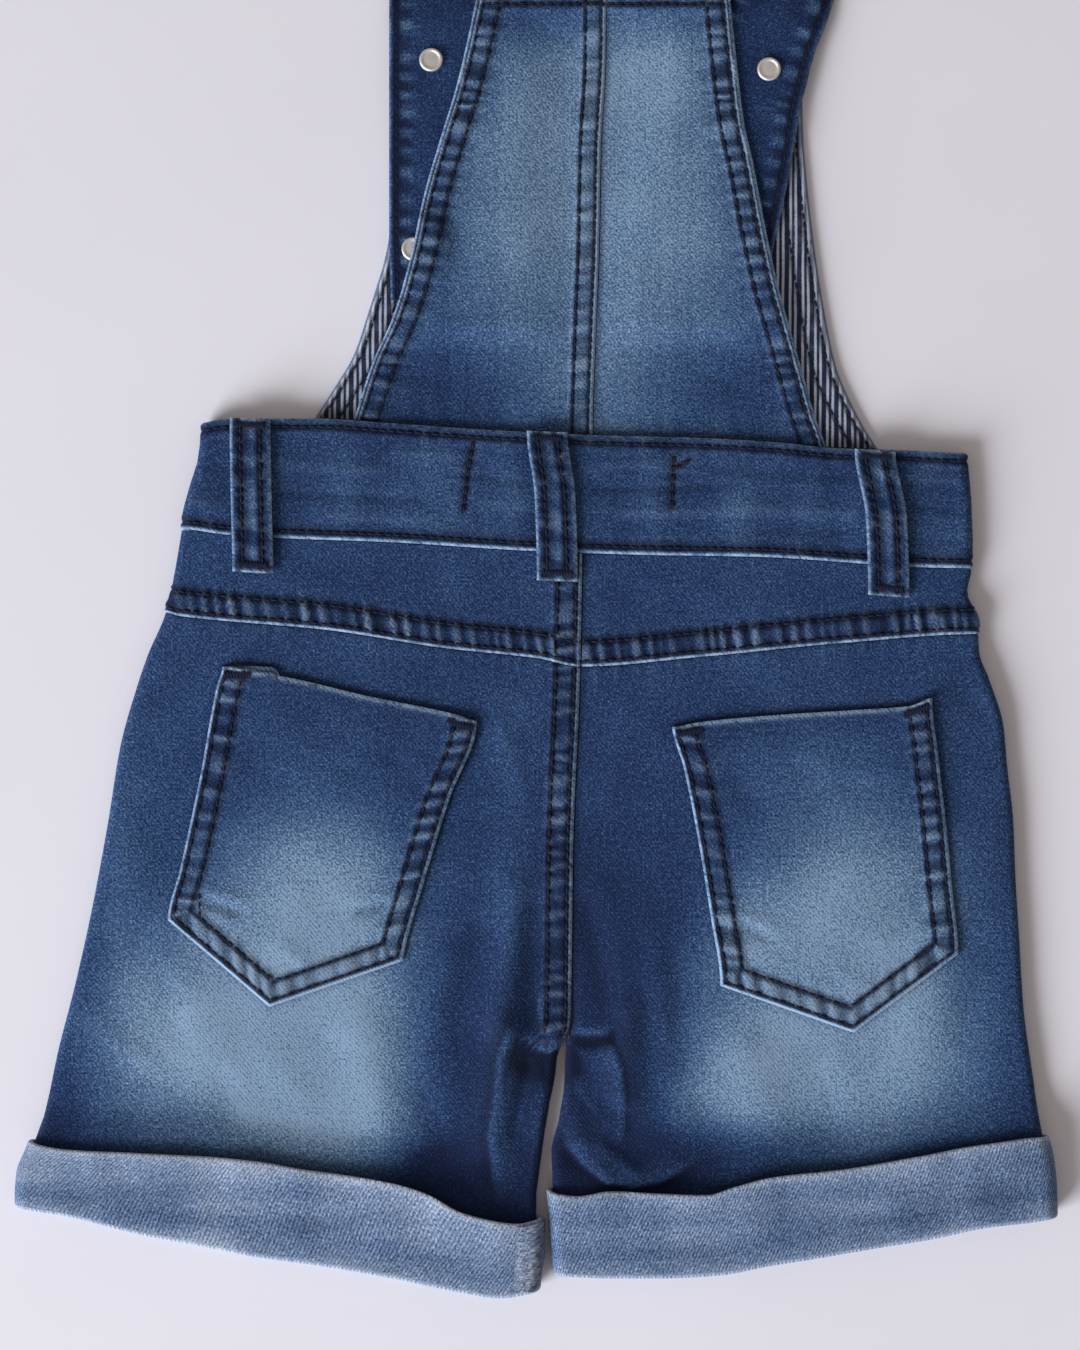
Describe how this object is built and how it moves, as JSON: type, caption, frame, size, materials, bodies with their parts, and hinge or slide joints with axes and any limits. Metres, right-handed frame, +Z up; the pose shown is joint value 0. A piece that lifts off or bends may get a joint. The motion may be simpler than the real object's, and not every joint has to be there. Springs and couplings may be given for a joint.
{
  "type": "child's short denim overalls laid flat",
  "caption": "Child's short denim dungarees laid flat face down: back bib, straps folded under, elastic waist, patch pockets, turned-up cuffs.",
  "frame": {"origin": "middle of the outline, on the surface that the garment lies on", "axes": "+X to the wearer's right as the back is seen, +Y from the hem to the straps, +Z up from the surface"},
  "size_m": [0.3594, 0.5855, 0.0138],
  "materials": {
    "denim": "stone-washed stretch twill denim, mid blue with faded centres and worn seam edges",
    "denim_reverse": "reverse of the twill denim, pale grey blue",
    "striped_cotton": "plain woven cotton with fine navy and white stripes",
    "plated_stud": "satin nickel plated studs"
  },
  "bodies": {
    "root": {"front_leg_left": "denim", "front_leg_right": "denim", "back_leg_left": "denim", "back_leg_right": "denim", "back_yoke_left": "denim", "back_yoke_right": "denim", "cuff_left": "denim_reverse", "cuff_right": "denim_reverse", "front_waistband": "denim", "back_waistband": "denim", "front_bib": "denim", "front_bib_lining": "striped_cotton", "back_bib_left": "denim", "back_bib_right": "denim", "strap_left": "denim", "strap_right": "denim", "back_pocket_left": "denim", "back_pocket_right": "denim", "belt_loop_left": "denim", "belt_loop_centre": "denim", "belt_loop_right": "denim", "stud_left_upper": "plated_stud", "stud_left_lower": "plated_stud", "stud_right_upper": "plated_stud"}
  },
  "joints": []
}
